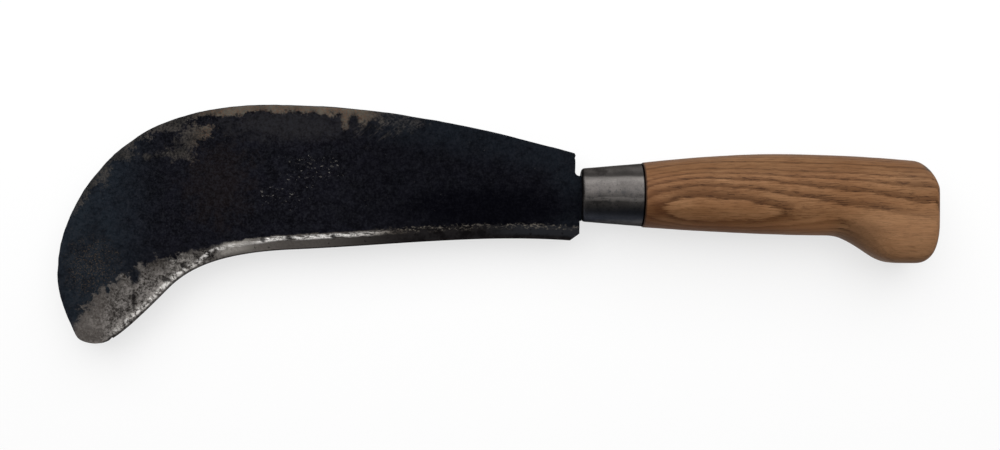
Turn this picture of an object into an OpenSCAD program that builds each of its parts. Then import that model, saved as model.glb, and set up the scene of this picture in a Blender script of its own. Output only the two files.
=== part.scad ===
// Billhook: a forged hooked blade with a through tang, a steel ferrule, a caulked ash handle
// and the washer that the tang is riveted over at the butt. Millimetres.
// X runs along the tang towards the butt, Y towards the back of the blade, Z through its thickness.
// The origin is on the tang axis in the middle of the grip.

/* [Blade outline] */
// Reach of the blade from the ferrule to the front of its nose
blade_reach = 253.8; // [235:0.1:280]
// Distance from the ferrule to the crest of the back
crest_at = 149; // [130:1:165]
// Height of the crest above the tang axis
crest_height = 43.6; // [36:0.1:52]
// Height of the back above the tang axis where its line meets the ferrule
heel_height = 19.2; // [16:0.1:24]
// Slope of the back at the heel, in degrees
heel_slope = 16.4; // [10:0.1:20]
// Distance of the brow, where the back turns down, behind the front of the nose
brow_setback = 45; // [38:0.1:55]
// Height of the brow above the tang axis
brow_height = 31.8; // [26:0.1:35]
// Slope of the back at the brow, in degrees
brow_slope = 27; // [22:0.5:36]
// Depth of the point of the nose below the tang axis
nose_drop = 72; // [62:0.1:84]
// Distance of the point of the nose behind its front
nose_setback = 20; // [15:0.1:25]
// Height of the foremost place of the nose above its point
front_rise = 34.4; // [28:0.1:40]
// Distance of the chin, the lower front corner of the nose, behind its front
chin_setback = 9; // [7:0.1:12]
// Height of the chin above the point of the nose
chin_rise = 4; // [3:0.1:6]
// Slope of the outline at the chin, in degrees
chin_slope = 63; // [50:1:70]

/* [Cutting edge] */
// Depth of the edge below the tang axis where its line meets the ferrule
heel_depth = 22.4; // [18:0.1:28]
// Rise of the edge from the heel towards its slight hollow, in degrees
heel_edge_slope = 6; // [2:0.1:8]
// Distance from the ferrule to where the edge starts to hook
bend_at = 139; // [125:1:160]
// Depth of the edge below the tang axis at that place
bend_depth = 26.4; // [22:0.1:32]
// Slope of the edge at that place, in degrees
bend_slope = 2.3; // [0:0.1:6]
// Distance of the middle of the hooked edge behind the front of the nose
hook_setback = 53.6; // [46:0.1:60]
// Height of the middle of the hooked edge above the point of the nose
hook_rise = 26.8; // [20:0.1:32]
// Slope of the hooked edge, in degrees
hook_slope = 45; // [38:1:52]
// Width of the ground bevel along the straight edge
bevel_w = 6.8; // [4:0.1:10]
// Width of the ground bevel at the nose
nose_bevel_w = 26; // [16:0.5:30]
// Thickness that is left at the cutting edge
edge_land = 0.4; // [0.2:0.1:0.8]

/* [Blade thickness and heel] */
// Thickness of the blade at the ferrule
heel_thick = 6.2; // [6:0.1:8]
// Thickness of the blade at the front of the nose
nose_thick = 3.8; // [3:0.1:4.8]
// Easing of the back's corners
back_ease = 0.7; // [0.3:0.1:1.2]
// Gap between the upper part of the heel and the ferrule
heel_gap = 3; // [2.5:0.1:6]
// Gap between the lower part of the heel and the ferrule
toe_gap = 0.9; // [0.5:0.1:3]
// Height of the neck above the tang axis
neck_rise = 9.2; // [8:0.1:11]
// Depth of the neck below the tang axis
neck_drop = 12.6; // [9:0.1:14]
// Radius of the fillet between the heel and the neck
neck_fillet = 2; // [1:0.1:2.4]
// Length of the clipped corner of the heel
clip_len = 4.9; // [2:0.1:8]
// Height of the clipped corner of the heel
clip_rise = 3.6; // [2:0.1:6]

/* [Tang and rivet] */
// Width of the tang at the neck
tang_w = 14; // [10:0.1:15]
// Thickness of the tang at the neck
tang_thick = 5.8; // [5:0.1:6]
// Width of the tang at the butt
tang_end_w = 7; // [5.6:0.1:9]
// Thickness of the tang at the butt
tang_end_thick = 5; // [4:0.1:6]
// Distance that the tang's square end stops short of the washer
tang_short = 1; // [0.5:0.1:2]
// Diameter of the rivet end that the tang is drawn down to
rivet_d = 5; // [4:0.1:6]
// Diameter of the rivet head
rivet_head_d = 9; // [8:0.1:11]
// Height of the rivet head
rivet_head_h = 1.8; // [1.2:0.1:2.2]
// Outer diameter of the washer
washer_d = 16; // [14:0.5:18]
// Thickness of the washer
washer_t = 1.6; // [1:0.1:2]

/* [Ferrule] */
// Length of the ferrule
ferrule_len = 29.6; // [22:0.1:36]
// Outer diameter at the mouth of the ferrule
ferrule_mouth_d = 25.8; // [24.6:0.1:28]
// Outer diameter at the rear of the ferrule
ferrule_rear_d = 30.6; // [29.4:0.1:31.2]
// Wall of the ferrule
ferrule_wall = 1.3; // [1:0.1:1.8]
// Radius of the drawn-in lip of the ferrule
lip_round = 2.4; // [2:0.1:3.6]
// Diameter of the hole that the tang passes through
mouth_hole_d = 16.8; // [16.4:0.1:18]

/* [Handle] */
// Length of the wood from the ferrule to the butt
handle_len = 141.6; // [125:0.5:160]
// Diameter of the wood where it meets the ferrule
shoulder_d = 31.6; // [31.2:0.1:33]
// Distance from the ferrule to the crest of the grip
grip_crest_at = 62; // [50:0.5:72]
// Height of the grip's crest above the tang axis
grip_top = 19.9; // [17:0.1:23]
// Depth of the grip below the tang axis
grip_bottom = 19.8; // [17:0.1:22]
// Squareness of the grip's section, where 2 is an ellipse
grip_square = 2.25; // [2:0.05:2.6]
// Thickness of the grip across its flat cheeks
grip_thick = 32; // [29:0.1:36]
// Depth to which each cheek of the wood is rasped flat
cheek_flat = 0.5; // [0.2:0.1:1.2]
// Height of the butt above the tang axis, before its corner is rounded
butt_top = 15.6; // [13:0.1:18]
// Depth of the caulk, the hooked end that stops the hand, below the tang axis
caulk_drop = 33.1; // [27:0.1:38]
// Length of the caulk's sole
caulk_len = 19.8; // [15:0.1:24]
// Length of the slope from the grip down to the caulk
caulk_ramp = 31; // [26:0.5:40]
// Thickness of the caulk
caulk_thick = 31; // [28:0.1:34]
// Squareness of the lower half of the caulk's section
caulk_square = 4.2; // [2.4:0.1:5]
// Length over which the lower flanks flatten towards the caulk's sole
flank_ramp = 18; // [10:0.5:26]
// Depth of the butt's middle below the tang axis
butt_drop = 4; // [2:0.1:6]
// Length over which the butt's upper corner is rounded
top_round = 11; // [8:0.5:13]
// Length over which the caulk's corner is rounded
sole_round = 11.5; // [9:0.5:14]
// Length over which the sides are rounded into the butt
side_round = 5; // [3:0.1:7]
// Depth of the recess for the washer and the rivet head
recess_depth = 4.2; // [3.8:0.1:5]

/* [Fits] */
// Clearance all round between the ferrule and the wood
ferrule_fit = 0.05; // [0.03:0.01:0.15]
// Clearance all round between the tang and the wood
tang_fit = 0.2; // [0.1:0.05:0.4]
// Clearance all round between the rivet and the washer
rivet_fit = 0.1; // [0.05:0.05:0.2]
// Clearance all round between the washer and its recess
washer_fit = 0.4; // [0.2:0.1:0.8]

/* [Hidden] */

// Fineness of round faces, of the blade's stretches and of the handle's rings
round_fn = 96;
back_steps = [20, 12, 12, 8, 8];
edge_steps = [20, 20, 20];
ring_sides = 40;
grip_steps = 40;
butt_steps = 12;
butt_sweep = 85;

// How far stock runs past the faces that trim it, and a length beyond the whole tool
past = 6;
far = 300;

// Places along X, measured from the mouth of the ferrule
front_x = -blade_reach;
nose_point = [front_x + nose_setback, -nose_drop];
handle_end = ferrule_len + handle_len;
caulk_start = handle_end - caulk_len - caulk_ramp;
grip_mid = (ferrule_len + caulk_start) / 2;
washer_seat = handle_end - recess_depth;
tang_end = washer_seat - tang_short;

// A smooth step from 0 to 1.
function ease(u) = let (t = min(1, max(0, u))) t * t * (3 - 2 * t);
function mix(a, b, u) = a + (b - a) * u;
function heading(a) = [cos(a), sin(a)];

// One cubic stretch between two keys. A key is [point, heading, pull before, pull after]:
// a pull says how far the curve holds the key's heading, as a share of the stretch.
function stretch(a, b, n) =
    let (d = norm(b[0] - a[0]),
         p = a[0] + a[3] * d * heading(a[1]),
         q = b[0] - b[2] * d * heading(b[1]))
    [for (i = [0 : n - 1]) let (t = i / n, s = 1 - t)
        s * s * s * a[0] + 3 * s * s * t * p + 3 * s * t * t * q + t * t * t * b[0]];
function trace(keys, steps) = [
    for (k = [0 : len(steps) - 1]) each stretch(keys[k], keys[k + 1], steps[k]),
    keys[len(keys) - 1][0]];

// The solid between rings of points, each running right-handed about the way from the first to the last.
module skin(rings) {
    n = len(rings[0]);
    m = len(rings);
    sides = [for (k = [0 : m - 2], j = [0 : n - 1]) let (a = k * n + j, b = k * n + (j + 1) % n)
        each [[a, b + n, b], [a, a + n, b + n]]];
    polyhedron(
        points = [for (r = rings) each r],
        faces = concat(sides, [[for (j = [0 : n - 1]) j], [for (j = [n - 1 : -1 : 0]) (m - 1) * n + j]]));
}

module on_grip() { translate([-grip_mid, 0, 0]) children(); }
module along_x() { rotate([90, 0, 90]) children(); }

// A bar along X that tapers from one section to the other, both [width, thickness].
module taper_bar(x0, x1, s0, s1) {
    skin([for (e = [[x0, s0], [x1, s1]])
        [for (c = [[-1, -1], [1, -1], [1, 1], [-1, 1]]) [e[0], c[0] * e[1][0] / 2, c[1] * e[1][1] / 2]]]);
}

// The back from the heel over the crest and the brow to the front, the chin and the point of the nose.
third = 1 / 3;
back_keys = [
    [[past, heel_height - past * tan(heel_slope)], 180 - heel_slope, third, third],
    [[-crest_at, crest_height], 180, third, third],
    [[front_x + brow_setback, brow_height], 180 + brow_slope, third, third],
    [[front_x, -nose_drop + front_rise], 270, third, third],
    [nose_point + [chin_setback - nose_setback, chin_rise], 360 - chin_slope, third, third],
    [nose_point, 360, third, third]];

// The cutting edge from the heel through the bend and the hook to the point of the nose.
edge_keys = [
    [[past, -heel_depth - past * tan(heel_edge_slope)], 180 - heel_edge_slope, third, third],
    [[-bend_at, -bend_depth], 180 + bend_slope, third, 0.53],
    [[front_x + hook_setback, -nose_drop + hook_rise], 180 + hook_slope, 0.24, 0.5],
    [nose_point, 180, 0.15, third]];

// The bevel spreads between these stations, and takes at most this share of a section near the point.
bevel_spread = [30, 50];
bevel_share = 0.86;
ease_share = 0.05;
function bevel_at(i, depth) =
    let (u = (i - bevel_spread[0]) / (bevel_spread[1] - bevel_spread[0]))
    min(mix(bevel_w, nose_bevel_w, ease(u)), bevel_share * depth);

function half_thick(x) = mix(heel_thick, nose_thick, -x / blade_reach) / 2;

// A section of the blade from its edge to its back. The bevel and the eased back run on past the
// flats by a small share of the thickness, and one tapered block then cuts both flats.
flat_over = 0.06;
function blade_section(back, edge, i) =
    let (depth = norm(back - edge),
         inward = (back - edge) / depth,
         flat = half_thick(back.x),
         top = flat * (1 + flat_over),
         land = edge_land / 2,
         rim = flat - back_ease,
         bevel = edge + inward * bevel_at(i, depth) * (top - land) / (flat - land),
         eased = back - inward * min(top - rim, ease_share * depth))
    [[edge.x, edge.y, land], [bevel.x, bevel.y, top], [eased.x, eased.y, top], [back.x, back.y, rim],
     [back.x, back.y, -rim], [eased.x, eased.y, -top], [bevel.x, bevel.y, -top], [edge.x, edge.y, -land]];

module blade_forging() {
    back = trace(back_keys, back_steps);
    edge = trace(edge_keys, edge_steps);
    intersection() {
        skin([for (i = [0 : len(back) - 2]) blade_section(back[i], edge[i], i)]);
        rotate([90, 0, 0]) linear_extrude(far, center = true) polygon([
            [0, -half_thick(0)], [0, half_thick(0)],
            [-far, half_thick(-far)], [-far, -half_thick(-far)]]);
    }
}

// What is sheared off the heel: the corner above the neck, with its fillet, and the clipped corner below.
module heel_cuts() translate([0, 0, -far / 2]) {
    translate([-heel_gap, neck_rise, 0]) difference() {
        cube(far);
        difference() {
            cube([neck_fillet, neck_fillet, far]);
            translate([neck_fillet, neck_fillet, 0]) cylinder(r = neck_fillet, h = far, $fn = round_fn);
        }
    }
    clip_top = [-toe_gap, clip_rise - heel_depth];
    clip_end = clip_top - 3 * [clip_len, clip_rise];
    linear_extrude(far) polygon([
        [-toe_gap, -neck_drop], [past, -neck_drop], [past, clip_end.y], clip_end, clip_top]);
}

// The tang's section at a distance from the ferrule's mouth, with room all round it.
function tang_section(x, room) = [
    mix(tang_w, tang_end_w, x / tang_end) + 2 * room,
    mix(tang_thick, tang_end_thick, x / tang_end) + 2 * room];
module tang(x0, x1, room = 0) taper_bar(x0, x1, tang_section(x0, room), tang_section(x1, room));

// The rivet end of the tang: a short round shank with a low domed head on the washer.
module rivet() along_x() {
    head_at = washer_seat + washer_t;
    dome_r = (pow(rivet_head_h, 2) + pow(rivet_head_d / 2, 2)) / (2 * rivet_head_h);
    shank_at = tang_end - past;
    translate([0, 0, shank_at])
        cylinder(d = rivet_d, h = head_at + rivet_head_h / 2 - shank_at, $fn = round_fn);
    intersection() {
        translate([0, 0, head_at]) cylinder(d = rivet_head_d, h = rivet_head_h, $fn = round_fn);
        translate([0, 0, head_at + rivet_head_h - dome_r]) sphere(r = dome_r, $fn = round_fn);
    }
}

module blade() color([0.12, 0.13, 0.16]) on_grip() {
    difference() {
        blade_forging();
        heel_cuts();
    }
    tang(-past, tang_end);
    rivet();
}

// Radius of the ferrule's outside at a distance from its mouth.
function ferrule_r(x) = mix(ferrule_mouth_d, ferrule_rear_d, x / ferrule_len) / 2;

// A tapered collar, drawn in at the mouth to a rounded lip that the blade's neck seats on.
module ferrule() color([0.5, 0.5, 0.5]) on_grip() {
    lip = [ferrule_r(lip_round) - lip_round, lip_round];
    hole_r = mouth_hole_d / 2;
    along_x() rotate_extrude($fn = round_fn) difference() {
        union() {
            polygon([[hole_r, 0], [lip.x, 0], lip, [ferrule_r(lip_round), lip_round],
                [ferrule_r(ferrule_len), ferrule_len], [hole_r, ferrule_len]]);
            translate(lip) circle(r = lip_round, $fn = round_fn);
        }
        polygon([[0, ferrule_wall], [ferrule_r(ferrule_wall) - ferrule_wall, ferrule_wall],
            [ferrule_r(ferrule_len) - ferrule_wall, ferrule_len], [0, ferrule_len]]);
    }
}

// The wood's outline at a distance from the ferrule's mouth: how far it reaches above and below the
// tang axis and to each side, each drawn in over its own length at the butt.
grip_swell = 1.6;
top_cap = [top_round, 2.1];
sole_cap = [sole_round, 2.6];
side_cap = [side_round, 2.2];
function butt_cap(x, cap) =
    let (u = max(0, (x - handle_end + cap[0]) / cap[0]))
    pow(1 - pow(u, cap[1]), 1 / cap[1]);
function caulk_share(x) = ease((x - caulk_start) / caulk_ramp);
function grip_share(x) = ease((x - ferrule_len) / grip_crest_at);
function wood_top(x) =
    let (d = x - ferrule_len - grip_crest_at,
         drop = d < 0 ? (grip_top - shoulder_d / 2) * pow(-d / grip_crest_at, grip_swell)
                      : (grip_top - butt_top) * pow(d / (handle_len - grip_crest_at), 2))
    (grip_top - drop + butt_drop) * butt_cap(x, top_cap) - butt_drop;
function wood_bottom(x) =
    let (d = max(0, (caulk_start - x) / (caulk_start - ferrule_len)),
         grip = mix(grip_bottom, shoulder_d / 2, pow(d, grip_swell)))
    (mix(grip, caulk_drop, caulk_share(x)) - butt_drop) * butt_cap(x, sole_cap) + butt_drop;
function wood_side(x) =
    mix(mix(shoulder_d, grip_thick, grip_share(x)), caulk_thick, caulk_share(x)) / 2 * butt_cap(x, side_cap);
function flank_share(x) = ease((x - caulk_start - caulk_ramp + flank_ramp) / flank_ramp);
function upper_square(x) = mix(2, grip_square, grip_share(x));
function lower_square(x) = mix(upper_square(x), caulk_square, flank_share(x));

// A ring of the wood. The cheeks are rasped flat, so the tool lies still on its side.
function bulge(v, power) = sign(v) * pow(abs(v), 2 / power);
function wood_ring(x) =
    let (top = wood_top(x), bottom = wood_bottom(x), side = wood_side(x),
         upper = upper_square(x), lower = lower_square(x))
    [for (j = [0 : ring_sides - 1])
        let (a = 360 * (j + 0.5) / ring_sides, up = cos(a) > 0, p = up ? upper : lower,
             cheek = (side + cheek_flat) * bulge(sin(a), p))
        [x, (up ? top : bottom) * bulge(cos(a), p), max(-side, min(side, cheek))]];

// Stations run evenly along the grip and close up towards the butt.
function wood_stations() =
    let (round_at = handle_end - sole_round)
    concat([for (i = [0 : grip_steps - 1]) mix(ferrule_len, round_at, i / grip_steps)],
           [for (i = [0 : butt_steps]) round_at + sole_round * sin(butt_sweep * i / butt_steps)]);

// The spigot that the ferrule is driven over.
module spigot() {
    rear = ferrule_len + past;
    inset = ferrule_wall + ferrule_fit;
    along_x() translate([0, 0, ferrule_wall]) cylinder(
        r1 = ferrule_r(ferrule_wall) - inset, r2 = ferrule_r(rear) - inset,
        h = rear - ferrule_wall, $fn = round_fn);
}

module handle() color([0.58, 0.42, 0.28]) on_grip() difference() {
    union() {
        skin([for (x = wood_stations()) wood_ring(x)]);
        spigot();
    }
    tang(-past, tang_end + past, tang_fit);
    along_x() translate([0, 0, washer_seat])
        cylinder(d = washer_d + 2 * washer_fit, h = far, $fn = round_fn);
}

module tang_washer() color([0.45, 0.45, 0.45]) on_grip() along_x() translate([0, 0, washer_seat]) {
    difference() {
        cylinder(d = washer_d, h = washer_t, $fn = round_fn);
        translate([0, 0, -washer_t]) cylinder(d = rivet_d + 2 * rivet_fit, h = 3 * washer_t, $fn = round_fn);
    }
}

blade();
ferrule();
handle();
tang_washer();
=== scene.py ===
import math

import bmesh
import bpy
import numpy as np
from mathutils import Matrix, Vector, kdtree


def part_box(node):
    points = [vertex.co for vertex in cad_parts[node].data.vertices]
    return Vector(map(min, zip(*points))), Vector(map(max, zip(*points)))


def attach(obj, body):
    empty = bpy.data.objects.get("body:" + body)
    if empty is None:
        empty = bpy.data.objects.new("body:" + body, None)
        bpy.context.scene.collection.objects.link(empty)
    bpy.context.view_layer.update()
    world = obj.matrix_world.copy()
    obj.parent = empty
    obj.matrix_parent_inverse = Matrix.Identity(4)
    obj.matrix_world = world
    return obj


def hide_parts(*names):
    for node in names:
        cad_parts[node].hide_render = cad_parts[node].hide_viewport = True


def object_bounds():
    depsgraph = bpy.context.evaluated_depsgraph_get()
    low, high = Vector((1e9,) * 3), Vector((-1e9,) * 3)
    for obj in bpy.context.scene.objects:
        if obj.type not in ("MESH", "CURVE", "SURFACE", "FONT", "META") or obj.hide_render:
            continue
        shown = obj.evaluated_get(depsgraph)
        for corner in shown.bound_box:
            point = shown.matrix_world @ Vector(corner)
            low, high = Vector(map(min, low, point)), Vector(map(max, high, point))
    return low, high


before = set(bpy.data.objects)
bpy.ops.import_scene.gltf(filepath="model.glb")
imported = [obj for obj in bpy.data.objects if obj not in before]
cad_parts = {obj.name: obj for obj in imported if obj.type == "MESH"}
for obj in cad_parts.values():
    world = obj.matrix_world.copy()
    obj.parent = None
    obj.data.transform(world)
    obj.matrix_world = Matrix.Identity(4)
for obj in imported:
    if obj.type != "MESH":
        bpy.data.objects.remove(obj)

cad_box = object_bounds()

# Blade: one forging of carbon steel with its neck, its tang and the rivet at the tang's end.
# It keeps the blue-black scale of the fire, and only the bevel of its edge is ground bright.
# The tang is driven through the handle, and its end is riveted over at the butt.
MM = 0.001


def copy_of(node, name):
    """A new piece with the merged mesh of a CAD node, alone selected and in edit mode."""
    piece = bpy.data.objects.new(name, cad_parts[node].data.copy())
    piece.data.materials.clear()
    bpy.context.scene.collection.objects.link(piece)
    bpy.ops.object.select_all(action="DESELECT")
    piece.select_set(True)
    bpy.context.view_layer.objects.active = piece
    bpy.ops.object.mode_set(mode="EDIT")
    bpy.ops.mesh.select_all(action="SELECT")
    bpy.ops.mesh.remove_doubles(threshold=0.001 * MM)
    return piece


def pick(piece, kind, wanted):
    """Selects in edit mode just those faces, edges or verts that the rule wants."""
    bpy.ops.mesh.select_all(action="DESELECT")
    bpy.ops.mesh.select_mode(type={"faces": "FACE", "edges": "EDGE", "verts": "VERT"}[kind])
    mesh = bmesh.from_edit_mesh(piece.data)
    for element in getattr(mesh, kind):
        element.select_set(wanted(element))
    bmesh.update_edit_mesh(piece.data)


def uneven(piece, group, wave, height):
    """Raises and lowers the surface in soft waves, as hammer, rolls or rasp leave it."""
    waves = bpy.data.textures.new(piece.name + "_waves", "CLOUDS")
    waves.noise_scale = wave
    waves.noise_depth = 2
    lift = piece.modifiers.new("uneven", "DISPLACE")
    lift.texture = waves
    lift.texture_coords = "LOCAL"
    lift.strength = height
    lift.mid_level = 0.5
    lift.vertex_group = group
    bpy.ops.object.modifier_apply(modifier=lift.name)


def note(piece, name, values):
    """Keeps one number for each vertex, which the material reads by its name."""
    layer = piece.data.attributes.new(name, "FLOAT", "POINT")
    layer.data.foreach_set("value", np.asarray(values, np.float32))


blade_low, blade_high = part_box("blade")
ferrule_low, ferrule_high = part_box("ferrule")
neck_x = ferrule_low.x
heel_x = neck_x - 3.0 * MM
neck_top = 11.5 * MM
net_pitch = 1.7 * MM
net_end = neck_x - 5 * MM
shown_end = neck_x - MM
noted_end = neck_x - 1.5 * MM
forged_end = neck_x - 4 * MM
shear_marks = 0.6 * MM
nick = Vector((-303.6, -69.3)) * MM
nick_reach = 1.2 * MM
nick_depth = 0.5 * MM

blade = copy_of("blade", "hook_blade")
bpy.ops.mesh.dissolve_limited(angle_limit=math.radians(0.3))
pick(blade, "faces", lambda f: f.calc_center_median().x > shown_end)
bpy.ops.mesh.hide(unselected=False)
for axis, low, high in ((1, blade_low.y, blade_high.y), (0, blade_low.x, net_end)):
    for cut in np.arange(low + net_pitch / 2, high, net_pitch):
        at = Vector((0, 0, 0))
        at[axis] = cut
        across = Vector((0, 0, 0))
        across[axis] = 1
        bpy.ops.mesh.select_all(action="SELECT")
        bpy.ops.mesh.bisect(plane_co=at, plane_no=across, threshold=0.01 * MM)
# The heel was sheared off roughly above the neck, and the edge has one small nick behind the nose.
pick(blade, "verts", lambda v: abs(v.co.x - heel_x) < 0.05 * MM and v.co.y > neck_top)
bpy.ops.transform.vertex_random(offset=shear_marks, uniform=0.0, normal=0.0, seed=3)
pick(blade, "verts", lambda v: (v.co.xy - nick).length < nick_reach)
bpy.ops.transform.translate(value=(0, nick_depth, 0))
bpy.ops.mesh.reveal(select=False)
bpy.ops.object.mode_set(mode="OBJECT")

# Each vertex learns how far it lies from the cutting edge, from the back and from the bevel's upper line.
# The tilt of a face tells the flat cheek from the bevel and from the back.
cheek_tilt, bevel_tilt, back_tilt = 0.9995, 0.85, 0.1
heel_facing = 0.7
edge_land = 0.25 * MM
bevel_top = -8 * MM
spots = np.array([v.co for v in blade.data.vertices])
flat_verts, bevel_verts, back_verts = set(), set(), set()
for face in blade.data.polygons:
    tilt = abs(face.normal.z)
    on_edge = all(abs(spots[v][2]) < edge_land for v in face.vertices)
    if face.center.x > noted_end:
        continue
    if tilt > cheek_tilt:
        flat_verts.update(face.vertices)
    elif tilt > bevel_tilt and face.center.y < bevel_top:
        bevel_verts.update(face.vertices)
    elif tilt < back_tilt and not on_edge and face.normal.x < heel_facing:
        back_verts.update(face.vertices)
edge_verts = {i for i in bevel_verts if abs(spots[i][2]) < edge_land}
back_verts -= edge_verts
line_verts = flat_verts & bevel_verts


def span_to(chosen):
    """How far each vertex lies, in mm, from the mesh edges that join the chosen vertices."""
    points = []
    for joint in blade.data.edges:
        a, b = joint.vertices
        if a in chosen and b in chosen:
            points += [spots[a] + (spots[b] - spots[a]) * share for share in (0, 0.25, 0.5, 0.75, 1)]
    tree = kdtree.KDTree(len(points))
    for i, point in enumerate(points):
        tree.insert(point, i)
    tree.balance()
    return np.array([tree.find(point)[2] for point in spots]) / MM


from_edge = span_to(edge_verts)
on_bevel = np.array([i in bevel_verts and i not in flat_verts for i in range(len(spots))])
note(blade, "from_edge", from_edge)
note(blade, "from_back", span_to(back_verts))
note(blade, "from_grind", span_to(line_verts) * np.where(on_bevel, -1.0, 1.0))

# The hammer left its waves on the cheeks, fainter where the edge was ground.
edge_share, full_from_mm = 0.15, 12
forged = blade.vertex_groups.new(name="forged")
for i, spot in enumerate(spots):
    if spot[0] < forged_end:
        forged.add([i], min(1.0, edge_share + from_edge[i] / full_from_mm), "REPLACE")
uneven(blade, "forged", wave=16 * MM, height=0.5 * MM)
uneven(blade, "forged", wave=4 * MM, height=0.16 * MM)
bpy.ops.object.shade_smooth_by_angle(angle=math.radians(14))


class Reading:
    """What a node gives at each place of a surface, so that a sum of readings is written as a sum."""

    def __init__(self, socket):
        self.socket = socket
        self.tree = socket.id_data

    def calc(self, operation, *others):
        inputs = dict(enumerate((self, *others)))
        return Reading(add(self.tree, "Math", inputs, operation=operation).outputs[0])

    def __add__(self, other):
        return self.calc("ADD", other)

    def __sub__(self, other):
        return self.calc("SUBTRACT", other)

    def __rsub__(self, other):
        return Reading(add(self.tree, "Math", {0: other, 1: self}, operation="SUBTRACT").outputs[0])

    def __mul__(self, other):
        return self.calc("MULTIPLY", other)

    def __truediv__(self, other):
        return self.calc("DIVIDE", other)

    def __abs__(self):
        return self.calc("ABSOLUTE")

    def most(self, other):
        """The larger of the two."""
        return self.calc("MAXIMUM", other)

    def fade(self, start, end, low=0.0, high=1.0):
        """A smooth step from low to high while the number goes from start to end."""
        ends = {"Value": self, "From Min": start, "From Max": end, "To Min": low, "To Max": high}
        return Reading(add(self.tree, "MapRange", ends, interpolation_type="SMOOTHSTEP").outputs["Result"])

    def within(self, start, full, waning, end):
        """A mask that rises from start to full, and falls from waning to end."""
        return self.fade(start, full) * self.fade(end, waning)

    def thinned(self, least):
        """How much is left where this mask thins something out: all outside it, the least inside."""
        return self.fade(0.0, 1.0, 1.0, least)


def feed(node, inputs):
    """Feeds a node's inputs from readings, from other nodes' outputs or from plain values."""
    for key, value in inputs.items():
        if isinstance(value, Reading):
            value = value.socket
        if isinstance(value, bpy.types.NodeSocket):
            node.id_data.links.new(value, node.inputs[key])
        else:
            node.inputs[key].default_value = value


def add(tree, kind, inputs=None, **settings):
    """A new node with its settings and its inputs."""
    node = tree.nodes.new("ShaderNode" + kind)
    for key, value in settings.items():
        setattr(node, key, value)
    feed(node, inputs or {})
    return node


def shade(red, green, blue_reflection):
    """A colour as it looks on a screen, 0 to 255, as the linear colour that a shader takes."""
    parts = []
    for level in (red / 255, green / 255, blue_reflection / 255):
        parts.append(level / 12.92 if level < 0.0404 else ((level + 0.055) / 1.055) ** 2.4)
    return (*parts, 1.0)


def mixed(share, first, second):
    """A colour between two others."""
    return Reading(add(share.tree, "Mix", {0: share, 6: first, 7: second}, data_type="RGBA").outputs[2])


def over(colour, mask, strength, tint):
    """Lays a tint over a colour where the mask is."""
    return mixed(mask * strength, colour, tint)


def blend(share, first, second):
    """A number between two others."""
    return Reading(add(share.tree, "Mix", {0: share, 2: first, 3: second}).outputs[0])


def noise(place, scale, detail=4.0, rough=0.55):
    """Cloudy noise, with its scale in waves to the millimetre."""
    inputs = {"Vector": place, "Scale": scale, "Detail": detail, "Roughness": rough}
    return Reading(add(place.tree, "TexNoise", inputs).outputs["Fac"])


def vector_calc(operation, first, second):
    """One sum of two places, axis by axis."""
    return Reading(add(first.tree, "VectorMath", {0: first, 1: second}, operation=operation).outputs[0])


def stretched(place, size):
    """Places squeezed or stretched along the axes, for grain and brushed marks."""
    return vector_calc("MULTIPLY", place, size)


def length(place):
    """How far each place lies from the origin."""
    return Reading(add(place.tree, "VectorMath", {0: place}, operation="LENGTH").outputs["Value"])


def axes(place):
    """The X, Y and Z of each place."""
    outputs = add(place.tree, "SeparateXYZ", {0: place}).outputs
    return [Reading(outputs[axis]) for axis in "XYZ"]


def noted(place, name):
    """The numbers that note() kept under a name."""
    return Reading(add(place.tree, "Attribute", attribute_name=name).outputs["Fac"])


def bump(height, strength, distance):
    """How the surface tilts where its fine height rises and falls."""
    inputs = {"Height": height, "Strength": strength, "Distance": distance}
    return add(height.tree, "Bump", inputs).outputs["Normal"]


def new_group(name, inputs):
    """A node group that puts out one mask, with its inputs as readings and its output node."""
    group = bpy.data.node_groups.new(name, "ShaderNodeTree")
    for label, kind in inputs.items():
        group.interface.new_socket(label, in_out="INPUT", socket_type="NodeSocket" + kind)
    group.interface.new_socket("Mask", in_out="OUTPUT", socket_type="NodeSocketFloat")
    entry = group.nodes.new("NodeGroupInput")
    given = [Reading(entry.outputs[label]) for label in inputs]
    return group, given, group.nodes.new("NodeGroupOutput")


def new_material(name):
    """A material, its shader and the surface's own places in millimetres."""
    material = bpy.data.materials.new(name)
    material.use_nodes = True
    tree = material.node_tree
    spot = add(tree, "TexCoord").outputs["Object"]
    place = add(tree, "VectorMath", {0: spot, "Scale": 1 / MM}, operation="SCALE").outputs[0]
    return material, tree.nodes["Principled BSDF"], Reading(place)


# A ragged patch around a middle, for wear, stains, painted shade and painted highlights alike, broken up
# into islands where it is ragged.
ragged_patch, (spot, middle, reach, raggedness), result = new_group(
    "ragged_patch", {"Place": "Vector", "Middle": "Vector", "Reach": "Vector", "Ragged": "Float"})
away = length(vector_calc("DIVIDE", vector_calc("SUBTRACT", spot, middle), reach))
eaten = (noise(spot, 0.24, 8, 0.72) - 0.5) * raggedness
feed(result, {"Mask": (away + eaten).fade(1.05, 0.3)})

# Small pits or specks, scattered in some of the cells of a loose net.
specks, (spot, per_mm, size, share), result = new_group(
    "specks", {"Place": "Vector", "Per mm": "Float", "Size": "Float", "Share": "Float"})
cells = add(specks, "TexVoronoi", {"Vector": spot, "Scale": per_mm}).outputs
near = (size - cells["Distance"]) / size
chance = Reading(add(specks, "SeparateColor", {0: cells["Color"]}).outputs[0])
feed(result, {"Mask": near.fade(0.0, 0.6) * chance.calc("LESS_THAN", share)})


def patch(place, x, y, reach_x, reach_y, ragged):
    """A ragged patch of wear, stain, painted shade or painted highlight around a place on the tool, in mm,
    right through from side to side.
    """
    right_through = 60
    inputs = {
        "Place": place, "Middle": (x, y, 0), "Reach": (reach_x, reach_y, right_through), "Ragged": ragged}
    return Reading(add(place.tree, "Group", inputs, node_tree=ragged_patch).outputs["Mask"])


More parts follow.
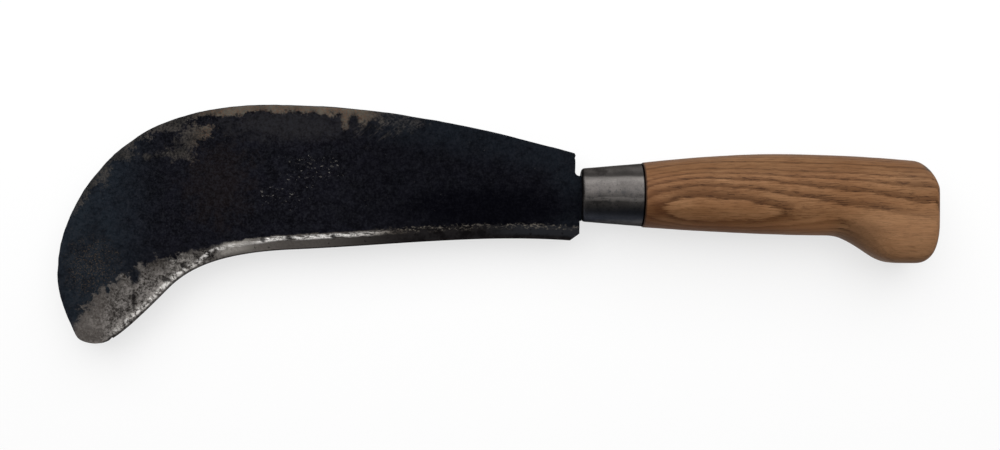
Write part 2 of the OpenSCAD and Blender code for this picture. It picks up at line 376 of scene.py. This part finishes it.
def scattered(place, per_mm, size, share):
    """Pits in a share of the cells of a net, with so many cells to the millimetre."""
    inputs = {"Place": place, "Per mm": per_mm, "Size": size, "Share": share}
    return Reading(add(place.tree, "Group", inputs, node_tree=specks).outputs["Mask"])


steel, shader, place = new_material("forged_and_ground_steel")
edge_mm, back_mm, grind_mm = [noted(place, name) for name in ("from_edge", "from_back", "from_grind")]
x_mm, y_mm, _ = axes(place)
mottled = noise(place, 0.14, 7, 0.66)
ragged = noise(place, 0.3, 8, 0.7)
smudged = noise(place, 0.42, 4, 0.7)
grainy = noise(place, 0.95, 3, 0.72)

# Forge scale: mottled black, darker towards the heel.
colour = mixed(mottled.fade(0.35, 0.68), shade(8, 8, 13), shade(17, 17, 24))
# The blue at the nose and along the back of the heel is a painted blue reflection.
blue_nose = x_mm.fade(-274, -312)
blue_back = back_mm.fade(20, 4) * x_mm.fade(-190, -160)
blue_reflection = blue_nose.most(blue_back * 0.75) * mottled.fade(0.3, 0.62, 0.45, 1.0)
colour = over(colour, blue_reflection, 0.9, shade(30, 37, 44))
colour = over(colour, patch(place, -250, 6, 22, 26, 2.5), 0.6, shade(26, 20, 19))
colour = over(colour, patch(place, -215, 34, 44, 10, 2.0), 0.8, shade(37, 36, 38))
colour = over(colour, smudged.fade(0.46, 0.66), 0.28, shade(40, 41, 46))
colour = over(colour, smudged.fade(0.52, 0.36), 0.4, shade(4, 4, 7))
colour = over(colour, grainy.fade(0.47, 0.64), 0.26, shade(42, 43, 49))
colour = over(colour, grainy.fade(0.5, 0.36), 0.32, shade(3, 3, 6))
colour = over(colour, x_mm.fade(-205, -160), 0.3, shade(4, 4, 8))
# The near-black patch above the heel's edge is a painted dark reflection.
dark_reflection = patch(place, -119, -7, 56, 16, 1.2) * grainy.fade(0.35, 0.62, 1.0, 0.75)
colour = over(colour, dark_reflection, 0.92, shade(1, 1, 5))

# The scale has flaked and rusted in a strip along the back, and in patches that reach in from it.
back_patches = (
    (-266, 27, 6, 8, 5.0), (-270, 20, 11, 4, 5.0), (-273, 33, 9, 4, 5.0), (-260, 30, 9, 4, 5.0),
    (-285, 18.5, 2.4, 2, 3.0), (-296, 19, 5, 3, 5.0), (-306, 10, 4, 7, 5.0),
    (-189, 36, 2.4, 6, 2.5), (-176, 38, 10, 4, 5.0))
crest = x_mm.within(-268, -250, -184, -168)
strip_mm = blend(crest, ragged.fade(0.36, 0.66, 0.2, 5.0), mottled.fade(0.36, 0.64, 2.6, 4.8))
frayed_mm = blend(crest, grainy.fade(0.35, 0.65, -1.0, 1.0), smudged.fade(0.35, 0.65, -0.5, 0.5))
worn = (strip_mm + frayed_mm - back_mm).fade(-0.8, 0.9) * back_mm.fade(0.2, 0.8)
worn = worn * x_mm.within(-323, -316, -178, -164)
for spot in back_patches:
    worn = worn.most(patch(place, *spot))
worn = worn * (1.0 - patch(place, -184.7, 36, 2.6, 5, 1.5))
worn = worn * blend(crest, grainy.fade(0.38, 0.6, 0.25, 1.0), 0.9)
nose_wear = mixed(mottled.fade(0.35, 0.65), shade(48, 46, 44), shade(71, 67, 63))
crest_wear = mixed(mottled.fade(0.35, 0.65), shade(76, 71, 64), shade(104, 98, 88))
rusty = crest * noise(place, 1.4, 4, 0.7).fade(0.48, 0.6)
worn_colour = over(mixed(crest, nose_wear, crest_wear), rusty, 0.6, shade(112, 80, 60))
colour = over(colour, worn, 0.85, worn_colour)

# Fine scratches slant across the worn corner of the back, and a dim scuff lies behind it.
scuff = patch(place, -162, 35, 12, 6, 4.0) * grainy.fade(0.36, 0.6) * ragged.fade(0.36, 0.56)
colour = over(colour, scuff, 0.6, shade(66, 63, 61))
turn = {"Vector": place, "Angle": math.radians(-40)}
slant = Reading(add(place.tree, "VectorRotate", turn, rotation_type="Z_AXIS").outputs[0])
hatch = noise(stretched(slant, (0.2, 1.6, 1.0)), 0.9, 3, 0.6).fade(0.52, 0.62)
colour = over(colour, hatch * patch(place, -173, 32, 14, 8, 3.0), 0.24, shade(84, 79, 74))

# Light flecks are scattered on the scale, more of them in two clusters in the middle of the blade.
# Rust specks lie at the nose.
cluster = patch(place, -221, 0, 20, 10, 2.0).most(patch(place, -204, 12, 26, 14, 2.0))
flecks = noise(stretched(place, (0.55, 1.0, 1.0)), 0.9, 4, 0.74) + cluster * 0.1
colour = over(colour, flecks.fade(0.7, 0.77), 0.6, shade(124, 120, 115))
rust_specks = noise(place, 1.7, 3, 0.7).fade(0.54, 0.64) * patch(place, -312, -36, 16, 20, 2.0)
colour = over(colour, rust_specks, 0.6, shade(86, 73, 58))

# Ground bevel: its upper line is ragged at the nose, where the scale is left in one notch, and more even
# behind the hook. The chin below the nose is ground too.
jag = (ragged - 0.5) * x_mm.fade(-245, -285, 3.0, 22.0)
raised = x_mm.within(-232, -222, -175, -160) * 0.32
depth = raised + (jag - grind_mm)
at_nose = x_mm.fade(-238, -256)
ground = blend(at_nose, depth.fade(-0.3, 0.5), depth.fade(-1.0, 2.0))
ground = ground * (1.0 - patch(place, -291, -40, 2.6, 6, 2.5))
chin = y_mm.fade(-60, -64) * x_mm.fade(-300, -308)
ground = ground.most(chin) * (x_mm + jag * 0.3).fade(-322.5, -318.5)

# Its steel is bright and mottled at the nose, plainer behind the hook, and dims towards the heel.
blotched = noise(place, 0.2, 7, 0.72)
brushed = noise(stretched(place, (0.2, 1.0, 1.0)), 1.0, 4, 0.6)
speckled = noise(place, 0.85, 5, 0.78)
torn = noise(place, 0.5, 5, 0.76)
cloud = blotched * 0.45 + speckled * 0.55
nose_steel = mixed(cloud.fade(0.42, 0.59), shade(40, 37, 35), shade(138, 133, 129))
nose_steel = over(nose_steel, x_mm.fade(-299, -310), 0.5, shade(102, 96, 92))
shaft_steel = mixed(x_mm.fade(-240, -215), shade(120, 115, 110), shade(98, 93, 89))
shaft_steel = mixed(x_mm.fade(-210, -165), shaft_steel, shade(44, 41, 41))
shaft_steel = over(shaft_steel, speckled.fade(0.42, 0.62), 0.3, shade(64, 61, 59))
bare = mixed(at_nose, shaft_steel, nose_steel)
dim_band = at_nose * depth.fade(10, 3) * blotched.fade(0.36, 0.6)
bare = over(bare, dim_band.most(patch(place, -280, -33, 12, 6, 2.0)), 0.65, shade(60, 56, 53))
# Near the edge at the nose and at the hook, painted highlights lie over the bare steel.
nose_edge_highlight = x_mm.within(-308, -294, -271, -262) * edge_mm.fade(5.6, 1.6)
nose_edge_highlight = nose_edge_highlight.most(patch(place, -267, -33.5, 11, 6, 2.0) * 0.8) * torn.fade(0.4, 0.56)
bare = over(bare, nose_edge_highlight, 0.65, shade(190, 185, 179))
hook_edge_highlight = x_mm.within(-254, -247, -244, -230) * edge_mm.fade(0.6, 2.6)
hook_edge_highlight = hook_edge_highlight * speckled.fade(0.36, 0.56, 0.55, 1.0) * edge_mm.fade(0.0, 4.0, 0.6, 1.0)
bare = over(bare, hook_edge_highlight, 0.85, shade(176, 171, 164))

# A bright streak runs beside the edge at the nose: rubbed steel, with its near-white shine a painted
# highlight.
# At the hook it climbs across the bevel, and then follows the bevel's upper line.
streak_mm = x_mm.fade(-264, -252, 2.1, 5.2) + x_mm.fade(-234, -222, 0.0, 0.6)
scuffed = brushed.fade(0.4, 0.54) * torn.fade(0.4, 0.5, 0.3, 1.0)
rubbed_and_highlit = blend(at_nose, scuffed, torn.fade(0.44, 0.58, 0.0, 0.75))
highlit_streak = abs(edge_mm - streak_mm).fade(1.6, 0.4) * rubbed_and_highlit * x_mm.within(-308, -288, -188, -148)
highlit_streak = highlit_streak * patch(place, -238, -22, 9, 7, 1.5).thinned(0.3)
streak_highlight_colour = mixed(x_mm.fade(-190, -160), shade(255, 251, 247), shade(132, 120, 106))
bare = over(bare, highlit_streak, 0.95, streak_highlight_colour)

# Towards the heel the bevel is stained dull, below a broken brownish line along its upper edge, a painted
# highlight of that ridge.
dull = mixed(blotched.fade(0.38, 0.62), shade(17, 15, 16), shade(34, 32, 33))
dull = over(dull, x_mm.fade(-128, -98) * edge_mm.fade(1.2, 3.0), 0.8, shade(44, 45, 49))
bright_share = x_mm.fade(-152, -172)
colour = mixed(ground, colour, mixed(bright_share, dull, bare))
flaked = noise(stretched(place, (0.6, 1.0, 1.0)), 0.8, 5, 0.78).fade(0.51, 0.61)
heel_ridge_highlight = depth.within(-1.1, 0.0, 0.6, 3.2) * x_mm.fade(-180, -160) * flaked
heel_ridge_highlight = heel_ridge_highlight * patch(place, -119, -15.5, 10, 5, 1.0).thinned(0.5)
colour = over(colour, heel_ridge_highlight, 0.85, shade(112, 106, 98))

# Pits: fine ones all over the bevel, three along the streak, two and a forging lap at the nose, and a
# cluster behind the corner of the hook. The very edge is a dark line.
deep_pits = (
    (-216.7, -20.6, 2.9, 2.1, 0.6), (-229.1, -21.7, 1.9, 1.7, 0.6), (-194.9, -20.0, 1.7, 2.0, 0.6),
    (-276, -41, 2.4, 1.6, 3.0), (-268, -34, 2.8, 1.8, 3.0), (-292, -51, 1.2, 7, 2.0))
pits = scattered(place, 0.45, 0.4, 0.22) * speckled.fade(0.4, 0.6)
for spot in deep_pits:
    pits = pits.most(patch(place, *spot))
hook_pits = patch(place, -258, -28, 10, 6, 2.0) * torn.fade(0.52, 0.44)
pits = pits.most(hook_pits) * ground
colour = over(colour, pits, 0.88, shade(18, 16, 17))
edge_line = blend(x_mm.fade(-258, -264), edge_mm.fade(0.8, 0.35), edge_mm.fade(1.4, 0.5))
colour = over(colour, edge_line * x_mm.fade(-309, -304), 0.8, shade(30, 27, 27))

# The rivet head at the tang's end is plain dull steel.
rivet = x_mm.fade(84, 86)
colour = mixed(rivet, colour, mixed(grainy, shade(78, 74, 71), shade(112, 107, 103)))

# Bare steel is smoother than the scale. The rubbed places have small facets that catch the light.
bare_mask = ground * bright_share * (1.0 - pits)
facets = highlit_streak.most(nose_edge_highlight) * bright_share * speckled
height = grainy * 0.5 + ragged - pits * 1.2 + facets * 13.0 - ground * 0.6 - worn * 0.4
feed(shader, {
    "Base Color": colour,
    "Metallic": bare_mask.most(rivet) * 0.35,
    "Roughness": grainy.fade(0.2, 0.8, 0.5, 0.66) + worn * 0.15 - bare_mask * 0.18 - highlit_streak * 0.08,
    "Specular IOR Level": 0.015,
    "Normal": bump(height, 0.5, 0.15 * MM)})
blade.data.materials.append(steel)
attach(blade, "root")
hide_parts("blade")

# Ferrule: a tapered collar of mild steel, drawn in to a rounded lip at its mouth.
# It is driven over the wood's spigot and held between the blade's neck and the wood's shoulder.
ferrule_sides = 96
mouth_r = 12.9 * MM
lip_round = 2.4 * MM
hole_r = 8.4 * MM
rear_r = ferrule_high.y
ferrule_len = ferrule_high.x - ferrule_low.x
ferrule_wall = 1.3 * MM
rim_round = 0.55 * MM
row_start = ferrule_low.x + 4 * MM
row_pitch = 1.5 * MM

bpy.ops.object.select_all(action="DESELECT")
bpy.ops.mesh.primitive_cylinder_add(
    vertices=ferrule_sides, radius=rear_r, depth=ferrule_len, rotation=(0, math.pi / 2, 0),
    location=((ferrule_low.x + ferrule_high.x) / 2, 0, 0))
ferrule = bpy.context.object
ferrule.name = "steel_ferrule"
bpy.ops.object.transform_apply(location=True, rotation=True, scale=True)
bpy.ops.object.mode_set(mode="EDIT")
pick(ferrule, "faces", lambda f: f.normal.x > 0.9)
bpy.ops.mesh.delete(type="FACE")
pick(ferrule, "verts", lambda v: v.co.x < ferrule_low.x + MM)
narrow = mouth_r / rear_r
bpy.ops.transform.resize(value=(1, narrow, narrow), center_override=(ferrule_low.x, 0, 0))
pick(ferrule, "faces", lambda f: f.normal.x < -0.9)
bpy.ops.mesh.inset(thickness=mouth_r - hole_r)
bpy.ops.mesh.delete(type="FACE")
pick(ferrule, "edges", lambda e: all(
    v.co.x < ferrule_low.x + 0.1 * MM and v.co.yz.length > mouth_r - 0.1 * MM for v in e.verts))
bpy.ops.mesh.bevel(offset=lip_round, offset_type="WIDTH", segments=6, affect="EDGES")
for cut in np.arange(row_start, ferrule_high.x - MM, row_pitch):
    bpy.ops.mesh.select_all(action="SELECT")
    bpy.ops.mesh.bisect(plane_co=(cut, 0, 0), plane_no=(1, 0, 0))
bpy.ops.object.mode_set(mode="OBJECT")
wall = ferrule.modifiers.new("wall", "SOLIDIFY")
wall.thickness = ferrule_wall
wall.offset = -1
bpy.ops.object.modifier_apply(modifier=wall.name)
bpy.ops.object.mode_set(mode="EDIT")
pick(ferrule, "edges", lambda e: all(
    v.co.x > ferrule_high.x - 0.05 * MM and v.co.yz.length > rear_r - 0.1 * MM for v in e.verts))
bpy.ops.mesh.bevel(offset=rim_round, segments=3, affect="EDGES")
bpy.ops.object.mode_set(mode="OBJECT")
worked = ferrule.vertex_groups.new(name="worked")
worked.add([v.index for v in ferrule.data.vertices], 1.0, "REPLACE")
uneven(ferrule, "worked", wave=9 * MM, height=0.12 * MM)
bpy.ops.object.shade_smooth_by_angle(angle=math.radians(40))

# Satin steel with fine pits, stained in two places behind the lip.
satin, shader, place = new_material("satin_ferrule_steel")
lip_x, rear_x = ferrule_low.x / MM, ferrule_high.x / MM
x_mm, y_mm, _ = axes(place)
cloudy = noise(place, 0.12, 5, 0.6)
grainy = noise(place, 1.6, 4, 0.7)
colour = mixed(cloudy.fade(0.3, 0.7), shade(84, 81, 79), shade(104, 100, 98))
colour = mixed(grainy.fade(0.3, 0.75, 0.0, 0.45), colour, shade(62, 60, 59))
pits = scattered(place, 0.8, 0.3, 0.14)
colour = over(colour, pits, 0.7, shade(34, 32, 31))
stains = patch(place, lip_x + 6, -2.5, 5, 2.5, 3.5).most(patch(place, lip_x + 9, 11, 5, 2, 3.5))
colour = over(colour, stains, 0.45, shade(42, 40, 40))

# Painted reflections run along its length: two bright bands, a dark band above the upper one and a dull
# grey band between the two bright ones. Its lower side is painted darker and bluish as painted shade, down
# to a painted light line at the very bottom, where it reflects the floor.
level = (cloudy - 0.5) * 2.5 + y_mm
for band, strength, tint in (
        (level.within(5.5, 7, 7.8, 9), 0.3, shade(128, 124, 121)),
        (level.within(7.8, 9.2, 9.6, 12.2), 0.6, shade(36, 34, 33)),
        (level.within(-1.6, 0.4, 4, 6), 0.4, shade(63, 60, 58)),
        (level.within(-3.8, -2.8, -2.0, -1.2), 0.4, shade(152, 147, 143)),
        (y_mm.fade(-4, -9), 0.8, shade(42, 47, 57)),
        (level.fade(-11.3, -13.5), 0.5, shade(104, 101, 99))):
    colour = over(colour, band, strength, tint)
# Mottled darker patches lie on it below the upper bands.
lower_mottle = noise(place, 0.35, 6, 0.72).fade(0.48, 0.64) * y_mm.fade(7, 1)
colour = over(colour, lower_mottle, 0.5, shade(44, 45, 48))
grime = x_mm + cloudy * 0.8
colour = over(colour, grime.fade(lip_x + 1.6, lip_x + 0.6), 0.7, shade(34, 32, 33))
# A dark ring at its rear rim: grime, and painted shadow of the gap to the wood.
colour = mixed(x_mm.fade(rear_x - 1.0, rear_x - 0.6), colour, shade(16, 15, 17))
feed(shader, {
    "Base Color": colour,
    "Metallic": 1.0,
    "Roughness": grainy.fade(0.2, 0.8, 0.36, 0.5),
    "Specular Tint": (0.3, 0.3, 0.3, 1),
    "Normal": bump(grainy - pits * 2.0, 0.35, 0.06 * MM)})
ferrule.data.materials.append(satin)
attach(ferrule, "root")
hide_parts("ferrule")

# Handle: one piece of cleft ash, turned and rasped to an oval grip with a caulk that stops the hand.
# Its growth rings run lengthwise and show as fine lines above and as a long closed figure below.
shoulder_r = 15.5 * MM
shoulder_round = 0.4 * MM

handle = copy_of("handle", "ash_handle")
bpy.ops.mesh.tris_convert_to_quads(face_threshold=math.radians(40), shape_threshold=math.radians(60))
pick(handle, "edges", lambda e: all(
    abs(v.co.x - ferrule_high.x) < 0.02 * MM and v.co.yz.length > shoulder_r for v in e.verts))
bpy.ops.mesh.bevel(offset=shoulder_round, segments=2, affect="EDGES")
bpy.ops.mesh.select_all(action="DESELECT")
bpy.ops.mesh.select_mode(type="EDGE")
bpy.ops.mesh.edges_select_sharp(sharpness=math.radians(35))
bpy.ops.transform.edge_crease(value=1.0)
bpy.ops.object.mode_set(mode="OBJECT")
smooth = handle.modifiers.new("smooth", "SUBSURF")
smooth.levels = 2
smooth.render_levels = 2
bpy.ops.object.modifier_apply(modifier=smooth.name)
rasped = handle.vertex_groups.new(name="rasped")
rasped.add([v.index for v in handle.data.vertices if v.co.x > ferrule_high.x + MM], 1.0, "REPLACE")
uneven(handle, "rasped", wave=18 * MM, height=0.3 * MM)
bpy.ops.object.shade_smooth_by_angle(angle=math.radians(40))

# The wood grew a little crooked, so its places are bent before its figure is drawn.
ash, shader, place = new_material("oiled_ash")
slow_waves = {"Vector": place, "Scale": 0.035, "Detail": 2.0, "Roughness": 0.5}
waves = Reading(add(place.tree, "TexNoise", slow_waves).outputs["Color"])
bend = vector_calc("SUBTRACT", waves, (0.5, 0.5, 0.5))
grown = vector_calc("ADD", place, stretched(bend, (0.0, 1.6, 1.6)))
x_mm, y_mm, z_mm = axes(grown)
fibre = noise(stretched(grown, (0.05, 1.0, 1.0)), 1.3, 5, 0.7)

# The heart of the tree lay outside the cheek that shows. The stem bulged once, at the front of the grip.
# Each year has a dark, porous early wood of its own strength and width.
heart_y, heart_z, heart_lean = -59.5, 165.0, 0.184
bulge_x, bulge_len, bulge_fall = -28.0, 30.0, 4.0
ring_width, ring_start, ring_fray, ring_seed = 2.0, 0.105, 1.7, 3
up = y_mm - (x_mm * heart_lean + heart_y)
out = z_mm - heart_z
far = (x_mm - bulge_x) / bulge_len
fallen = (far * far + 1.0).calc("LOGARITHM", math.e) * bulge_fall
radius = (up * up + out * out).calc("SQRT") + fallen + (fibre - 0.5) * ring_fray
rings = radius / ring_width + ring_start
in_ring = rings.calc("FRACT")
ring = rings.calc("FLOOR") + ring_seed
year = Reading(add(place.tree, "TexWhiteNoise", {"W": ring}, noise_dimensions="1D").outputs["Value"])
share = in_ring / year.fade(0.2, 0.9, 0.4, 0.85)
early = in_ring.fade(0.0, 0.14) * share.fade(1.0, 0.2) * year.fade(0.0, 1.0, 0.25, 1.0)

# The rings are faint on the caulk's flank and in front of it, where the rasp cut across them.
flank = x_mm.fade(44, 60) * y_mm.fade(-4, -14)
early = early * flank.most(patch(place, 30, -8, 13, 5, 1.0)).thinned(0.3)

# Fine open pores, darkest in the early wood, pale silky streaks between them, and short dark dashes.
pores = noise(stretched(grown, (0.09, 1.0, 1.0)), 2.0, 3, 0.65).fade(0.53, 0.59) * (early + 0.45)
silk = noise(stretched(place, (0.05, 1.0, 1.0)), 1.1, 4, 0.6).fade(0.54, 0.68)
blotch = noise(stretched(place, (0.4, 1.0, 1.0)), 0.07, 4, 0.6)
dashes = noise(stretched(place, (0.16, 1.0, 1.0)), 0.55, 4, 0.65).fade(0.52, 0.62) * flank.most(0.35)
colour = mixed(blotch.fade(0.32, 0.68), shade(132, 92, 60), shade(150, 110, 76))
colour = over(colour, silk, 0.35, shade(166, 126, 90))
colour = over(colour, early, 0.9, shade(80, 50, 27))
colour = over(colour, fibre.fade(0.45, 0.66), 0.42, shade(100, 66, 38))
colour = over(colour, patch(place, -18, 1.5, 28, 4.5, 1.5), 0.5, shade(90, 57, 33))
colour = over(colour, dashes, 0.45, shade(100, 64, 38))
colour = over(colour, pores, 0.75, shade(66, 40, 22))

# The wood is darker behind the ferrule, most towards the bottom, and in a patch on the upper side near the
# butt.
# Its upper side is darkened as painted shade, and the hollow before the caulk holds painted shade. Its
# belly is painted warmer and lighter, a painted lift of its shade, and its flank is pale. The joint is a
# dark line of grime and painted shadow in the gap, the butt's rounded rim is darkened as painted shade,
# and one corner has a grey mark.
joint_x, butt_x = ferrule_high.x / MM, cad_box[1].x / MM
ferrule_end_darkening = x_mm.fade(joint_x + 16, joint_x + 2) * y_mm.fade(8, -8, 0.4, 1.0)
belly_lift = y_mm.fade(-9, -17) * x_mm.fade(50, 40)
belly_lift_colour = mixed(x_mm.fade(5, 35), shade(140, 90, 54), shade(176, 122, 80))
butt_rim_shade = x_mm.fade(butt_x - 2.8, butt_x - 0.9) * patch(place, butt_x, -8, 30, 23, 0.5).thinned(0.5)
for mask, strength, tint in (
        (ferrule_end_darkening, 0.55, shade(94, 56, 32)),
        (y_mm.fade(6, 13), 0.45, shade(84, 56, 32)),
        (belly_lift, 0.6, belly_lift_colour),
        (patch(place, 86, 8, 20, 9, 0.5), 0.3, shade(84, 58, 40)),
        (patch(place, 59, -19, 12, 9, 1.0), 0.45, shade(72, 42, 24)),
        (flank, 0.25, shade(176, 134, 98)),
        (x_mm.fade(joint_x + 0.9, joint_x + 0.2), 0.8, shade(44, 30, 22)),
        (butt_rim_shade, 0.8, shade(66, 48, 38)),
        (patch(place, 90.5, 12.6, 4, 2.4, 1.5), 0.9, shade(62, 58, 55))):
    colour = over(colour, mask, strength, tint)
feed(shader, {
    "Base Color": colour,
    "Roughness": fibre.fade(0.2, 0.8, 0.5, 0.62),
    "Specular IOR Level": 0.12,
    "Normal": bump(fibre * 0.4 - (pores + early), 0.3, 0.1 * MM)})
handle.data.materials.append(ash)
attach(handle, "root")
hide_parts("handle")

# Washer: a punched ring of mild steel, let into the end of the butt under the rivet head.
# It is dull and lightly rusted, and its rims are broken by a file.
washer_rim = 0.25 * MM

washer = copy_of("tang_washer", "butt_washer")
bpy.ops.mesh.dissolve_limited(angle_limit=math.radians(0.3))
pick(washer, "edges", lambda e: e.is_manifold and e.calc_face_angle() > math.radians(60))
bpy.ops.mesh.bevel(offset=washer_rim, segments=2, affect="EDGES")
bpy.ops.object.mode_set(mode="OBJECT")
bpy.ops.object.shade_smooth_by_angle(angle=math.radians(35))

dull_steel, shader, place = new_material("dull_washer_steel")
grainy = noise(place, 2.0, 4, 0.7)
rust = noise(place, 0.3, 5, 0.65).fade(0.45, 0.65, 0.0, 0.8)
colour = mixed(grainy, shade(92, 89, 87), shade(122, 118, 114))
feed(shader, {
    "Base Color": mixed(rust, colour, shade(96, 58, 38)),
    "Metallic": 0.9 - rust,
    "Roughness": grainy.fade(0.2, 0.8, 0.45, 0.65),
    "Normal": bump(grainy, 0.4, 0.08 * MM)})
washer.data.materials.append(dull_steel)
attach(washer, "root")
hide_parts("tang_washer")

# Floor: a white sheet that the tool lies on.
# It keeps the tool's soft shadow, and is pure white further off.
floor_size = 6
white_from, white_beyond = 500, 1100

bpy.ops.object.select_all(action="DESELECT")
bpy.ops.mesh.primitive_plane_add(size=floor_size, location=(0, 0, cad_box[0].z))
floor = bpy.context.object
floor.name = "floor"
white, shader, place = new_material("white_sheet")
tree = place.tree
feed(shader, {"Base Color": (0.3, 0.3, 0.3, 1), "Roughness": 0.9, "Specular IOR Level": 0.0})
rays = add(tree, "LightPath").outputs
seen = Reading(rays["Is Glossy Ray"]).most(rays["Is Transmission Ray"]).most(rays["Is Camera Ray"])
white_share = length(place).fade(white_from, white_beyond, 0.7, 1.0)
lift = add(tree, "Emission", {"Color": (1, 1, 1, 1), "Strength": seen * white_share})
both = add(tree, "AddShader", {0: shader.outputs[0], 1: lift.outputs[0]})
feed(tree.nodes["Material Output"], {"Surface": both.outputs[0]})
floor.data.materials.append(white)

# Light: one large soft window above the picture's upper edge.
# The room around it is dim on the other side.
window_place = Vector((-0.11, 0.574, 0.819))
window_aim = Vector((-0.11, 0, 0))
window_width, window_height = 1.8, 1.2
window_power = 14.5

room = bpy.data.worlds.new("room")
bpy.context.scene.world = room
room.use_nodes = True
tree = room.node_tree
rays = add(tree, "LightPath").outputs
towards = axes(Reading(add(tree, "TexCoord").outputs["Generated"]))[1]
room_light = towards.fade(-0.7, 0.8, 0.12, 0.6)
feed(tree.nodes["Background"], {"Color": (1, 1, 1, 1), "Strength": room_light.most(rays["Is Camera Ray"])})
window_data = bpy.data.lights.new("window", "AREA")
window_data.shape = "RECTANGLE"
window_data.size = window_width
window_data.size_y = window_height
window_data.energy = window_power
window = bpy.data.objects.new("window", window_data)
bpy.context.scene.collection.objects.link(window)
window.location = window_place
window.rotation_euler = (window_aim - window_place).to_track_quat("-Z", "Y").to_euler()

# Camera: straight above the blade, as close as the picture was taken.
# Its lens takes in the whole tool.
view_place = Vector((-0.1143, -0.01457, 0.525))
view_lens, view_sensor = 38.916, 36.0

camera_data = bpy.data.cameras.new("camera")
camera_data.lens = view_lens
camera_data.sensor_width = view_sensor
camera = bpy.data.objects.new("camera", camera_data)
bpy.context.scene.collection.objects.link(camera)
camera.location = view_place
bpy.context.scene.camera = camera
bpy.context.scene.view_settings.view_transform = "Standard"
